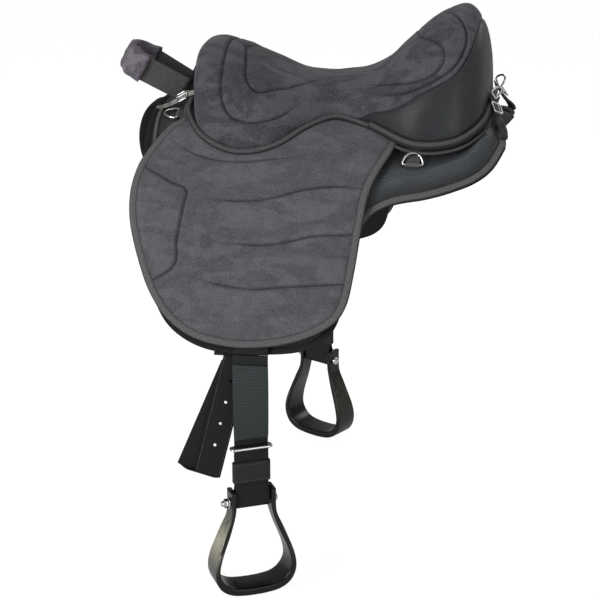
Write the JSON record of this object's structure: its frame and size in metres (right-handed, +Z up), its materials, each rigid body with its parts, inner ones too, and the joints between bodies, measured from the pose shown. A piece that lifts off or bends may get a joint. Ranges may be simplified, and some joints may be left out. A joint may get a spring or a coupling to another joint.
{
  "type": "bareback pad",
  "caption": "Treeless padded riding pad with raised pommel and cantle, quilted side flaps, hanging stirrups, grab handle, dee rings and girth straps.",
  "frame": {"origin": "on the underside, on the line of the horse's spine, just ahead of the stirrup straps", "axes": "+X towards the cantle, -Y to the near (left) side of the horse, +Z up"},
  "size_m": [0.5898, 0.6922, 0.8056],
  "materials": {
    "black_webbing": "woven webbing",
    "foam": "firm felt",
    "leather": "dark strap",
    "lining": "smooth black lining",
    "mesh": "three-dimensional spacer mesh",
    "pale_leather": "pale worn strap",
    "plastic": "moulded, semi-matte",
    "steel": "plated steel wire",
    "suede": "soft brushed suede cloth",
    "tail_webbing": "woven webbing, ribbed",
    "webbing": "woven binding",
    "wrap_suede": "soft brushed suede cloth"
  },
  "bodies": {
    "saddle": {"cantle_arch": "foam", "cantle_binding": "webbing", "cantle_bolster": "mesh", "flap_yoke": "suede", "lining": "lining", "near_billet_root": "black_webbing", "near_front_buckle": "steel", "near_front_lace": "pale_leather", "near_front_tab": "webbing", "near_rear_buckle": "steel", "near_rear_lace": "leather", "near_side_tab": "webbing", "near_stirrup_ring": "steel", "off_billet_root": "black_webbing", "off_front_buckle": "steel", "off_front_lace": "pale_leather", "off_front_tab": "webbing", "off_rear_buckle": "steel", "off_rear_lace": "leather", "off_side_tab": "webbing", "off_stirrup_ring": "steel", "pommel_arch": "foam", "seat_cushion": "suede", "seat_piping": "webbing", "stirrup_webbing": "black_webbing", "under_pad": "mesh", "under_pad_binding": "webbing"},
    "near_flap": {"near_flap": "suede", "near_flap_binding": "webbing"},
    "near_strap": {"near_stirrup_strap": "black_webbing"},
    "near_fall": {"near_strap_fall": "tail_webbing"},
    "near_foot": {"near_strap_loop": "black_webbing", "near_slide_buckle": "steel", "near_stirrup_bolt": "steel"},
    "near_stirrup": {"near_stirrup": "plastic"},
    "near_keeper": {"near_keeper": "black_webbing"},
    "near_billet": {"near_billet": "black_webbing"},
    "near_front_dee": {"near_front_dee": "steel"},
    "near_side_dee": {"near_side_dee": "steel"},
    "near_rear_dee": {"near_rear_dee": "steel"},
    "near_front_tongue": {"near_front_tongue": "steel"},
    "near_rear_tongue": {"near_rear_tongue": "steel"},
    "off_flap": {"off_flap": "suede", "off_flap_binding": "webbing"},
    "off_strap": {"off_stirrup_strap": "black_webbing"},
    "off_fall": {"off_strap_fall": "tail_webbing"},
    "off_foot": {"off_strap_loop": "black_webbing", "off_slide_buckle": "steel", "off_stirrup_bolt": "steel"},
    "off_stirrup": {"off_stirrup": "plastic"},
    "off_keeper": {"off_keeper": "black_webbing"},
    "off_billet": {"off_billet": "black_webbing"},
    "off_front_dee": {"off_front_dee": "steel"},
    "off_side_dee": {"off_side_dee": "steel"},
    "off_rear_dee": {"off_rear_dee": "steel"},
    "off_front_tongue": {"off_front_tongue": "steel"},
    "off_rear_tongue": {"off_rear_tongue": "steel"},
    "handle": {"handle_strap": "black_webbing", "handle_wrap": "wrap_suede"}
  },
  "joints": [
    {"name": "near_flap_lift", "type": "hinge", "parent": "saddle", "child": "near_flap", "pos_m": [0, -0.17045, -0.04405], "axis": [-1, 0, 0], "range_deg": [0, 75]},
    {"name": "near_strap_swing", "type": "hinge", "parent": "saddle", "child": "near_strap", "pos_m": [0.002, -0.23215, -0.15647], "axis": [0, -0.8988, 0.4384], "range_deg": [-4, 16]},
    {"name": "near_strap_out", "type": "hinge", "parent": "near_strap", "child": "near_fall", "pos_m": [0.002, -0.29737, -0.28676], "axis": [-1, 0, 0], "range_deg": [0, 50]},
    {"name": "near_strap_turn", "type": "hinge", "parent": "near_fall", "child": "near_foot", "pos_m": [0.002, -0.29737, -0.4203], "axis": [0, 0, 1], "range_deg": [-29, 60], "stiffness_Nm_per_rad": 0.05},
    {"name": "near_stirrup_tilt", "type": "hinge", "parent": "near_foot", "child": "near_stirrup", "pos_m": [0.002, -0.29737, -0.505], "axis": [0.8746, 0.4848, 0], "range_deg": [-80, 80]},
    {"name": "near_keeper_slide", "type": "slide", "parent": "near_foot", "child": "near_keeper", "axis": [0, 0, 1], "range_m": [0, 0.016]},
    {"name": "near_billet_swing", "type": "hinge", "parent": "saddle", "child": "near_billet", "pos_m": [-0.019, -0.28764, -0.29351], "axis": [-1, 0, 0], "range_deg": [-45, 0]},
    {"name": "near_front_dee_turn", "type": "hinge", "parent": "saddle", "child": "near_front_dee", "pos_m": [-0.1475, -0.07523, 0.002], "axis": [0, 0.9492, 0.3146], "range_deg": [0, 100]},
    {"name": "near_side_dee_turn", "type": "hinge", "parent": "saddle", "child": "near_side_dee", "pos_m": [0.2065, -0.15284, -0.04107], "axis": [1, 0, 0], "range_deg": [-10, 120]},
    {"name": "near_rear_dee_turn", "type": "hinge", "parent": "saddle", "child": "near_rear_dee", "pos_m": [0.30862, -0.04425, 0.03923], "axis": [0.2938, 0.6838, -0.6679], "range_deg": [0, 45]},
    {"name": "near_front_tongue_turn", "type": "hinge", "parent": "saddle", "child": "near_front_tongue", "pos_m": [-0.15367, -0.05963, 0.01932], "axis": [0.2875, -0.7657, -0.5754], "range_deg": [0, 100]},
    {"name": "near_rear_tongue_turn", "type": "hinge", "parent": "saddle", "child": "near_rear_tongue", "pos_m": [0.31278, -0.05679, 0.03016], "axis": [-0.6602, -0.6546, 0.3683], "range_deg": [0, 100]},
    {"name": "off_flap_lift", "type": "hinge", "parent": "saddle", "child": "off_flap", "pos_m": [0, 0.17045, -0.04405], "axis": [1, 0, 0], "range_deg": [0, 75]},
    {"name": "off_strap_swing", "type": "hinge", "parent": "saddle", "child": "off_strap", "pos_m": [0.002, 0.23215, -0.15647], "axis": [0, -0.8988, -0.4384], "range_deg": [-4, 16]},
    {"name": "off_strap_out", "type": "hinge", "parent": "off_strap", "child": "off_fall", "pos_m": [0.002, 0.29737, -0.28676], "axis": [1, 0, 0], "range_deg": [0, 50]},
    {"name": "off_strap_turn", "type": "hinge", "parent": "off_fall", "child": "off_foot", "pos_m": [0.002, 0.29737, -0.4203], "axis": [0, 0, -1], "range_deg": [-29, 60], "stiffness_Nm_per_rad": 0.05},
    {"name": "off_stirrup_tilt", "type": "hinge", "parent": "off_foot", "child": "off_stirrup", "pos_m": [0.002, 0.29737, -0.505], "axis": [0.8746, -0.4848, 0], "range_deg": [-80, 80]},
    {"name": "off_keeper_slide", "type": "slide", "parent": "off_foot", "child": "off_keeper", "axis": [0, 0, 1], "range_m": [0, 0.016]},
    {"name": "off_billet_swing", "type": "hinge", "parent": "saddle", "child": "off_billet", "pos_m": [-0.019, 0.28764, -0.29351], "axis": [1, 0, 0], "range_deg": [-45, 0]},
    {"name": "off_front_dee_turn", "type": "hinge", "parent": "saddle", "child": "off_front_dee", "pos_m": [-0.1475, 0.07523, 0.002], "axis": [0, 0.9492, -0.3146], "range_deg": [0, 100]},
    {"name": "off_side_dee_turn", "type": "hinge", "parent": "saddle", "child": "off_side_dee", "pos_m": [0.2065, 0.15284, -0.04107], "axis": [-1, 0, 0], "range_deg": [-10, 120]},
    {"name": "off_rear_dee_turn", "type": "hinge", "parent": "saddle", "child": "off_rear_dee", "pos_m": [0.30862, 0.04425, 0.03923], "axis": [-0.2938, 0.6838, 0.6679], "range_deg": [0, 45]},
    {"name": "off_front_tongue_turn", "type": "hinge", "parent": "saddle", "child": "off_front_tongue", "pos_m": [-0.15367, 0.05963, 0.01932], "axis": [-0.2875, -0.7657, 0.5754], "range_deg": [0, 100]},
    {"name": "off_rear_tongue_turn", "type": "hinge", "parent": "saddle", "child": "off_rear_tongue", "pos_m": [0.31278, 0.05679, 0.03016], "axis": [0.6602, -0.6546, -0.3683], "range_deg": [0, 100]},
    {"name": "handle_bend", "type": "hinge", "parent": "saddle", "child": "handle", "pos_m": [-0.16, 0, 0.00977], "axis": [0, 1, 0], "range_deg": [-18, 10]}
  ]
}
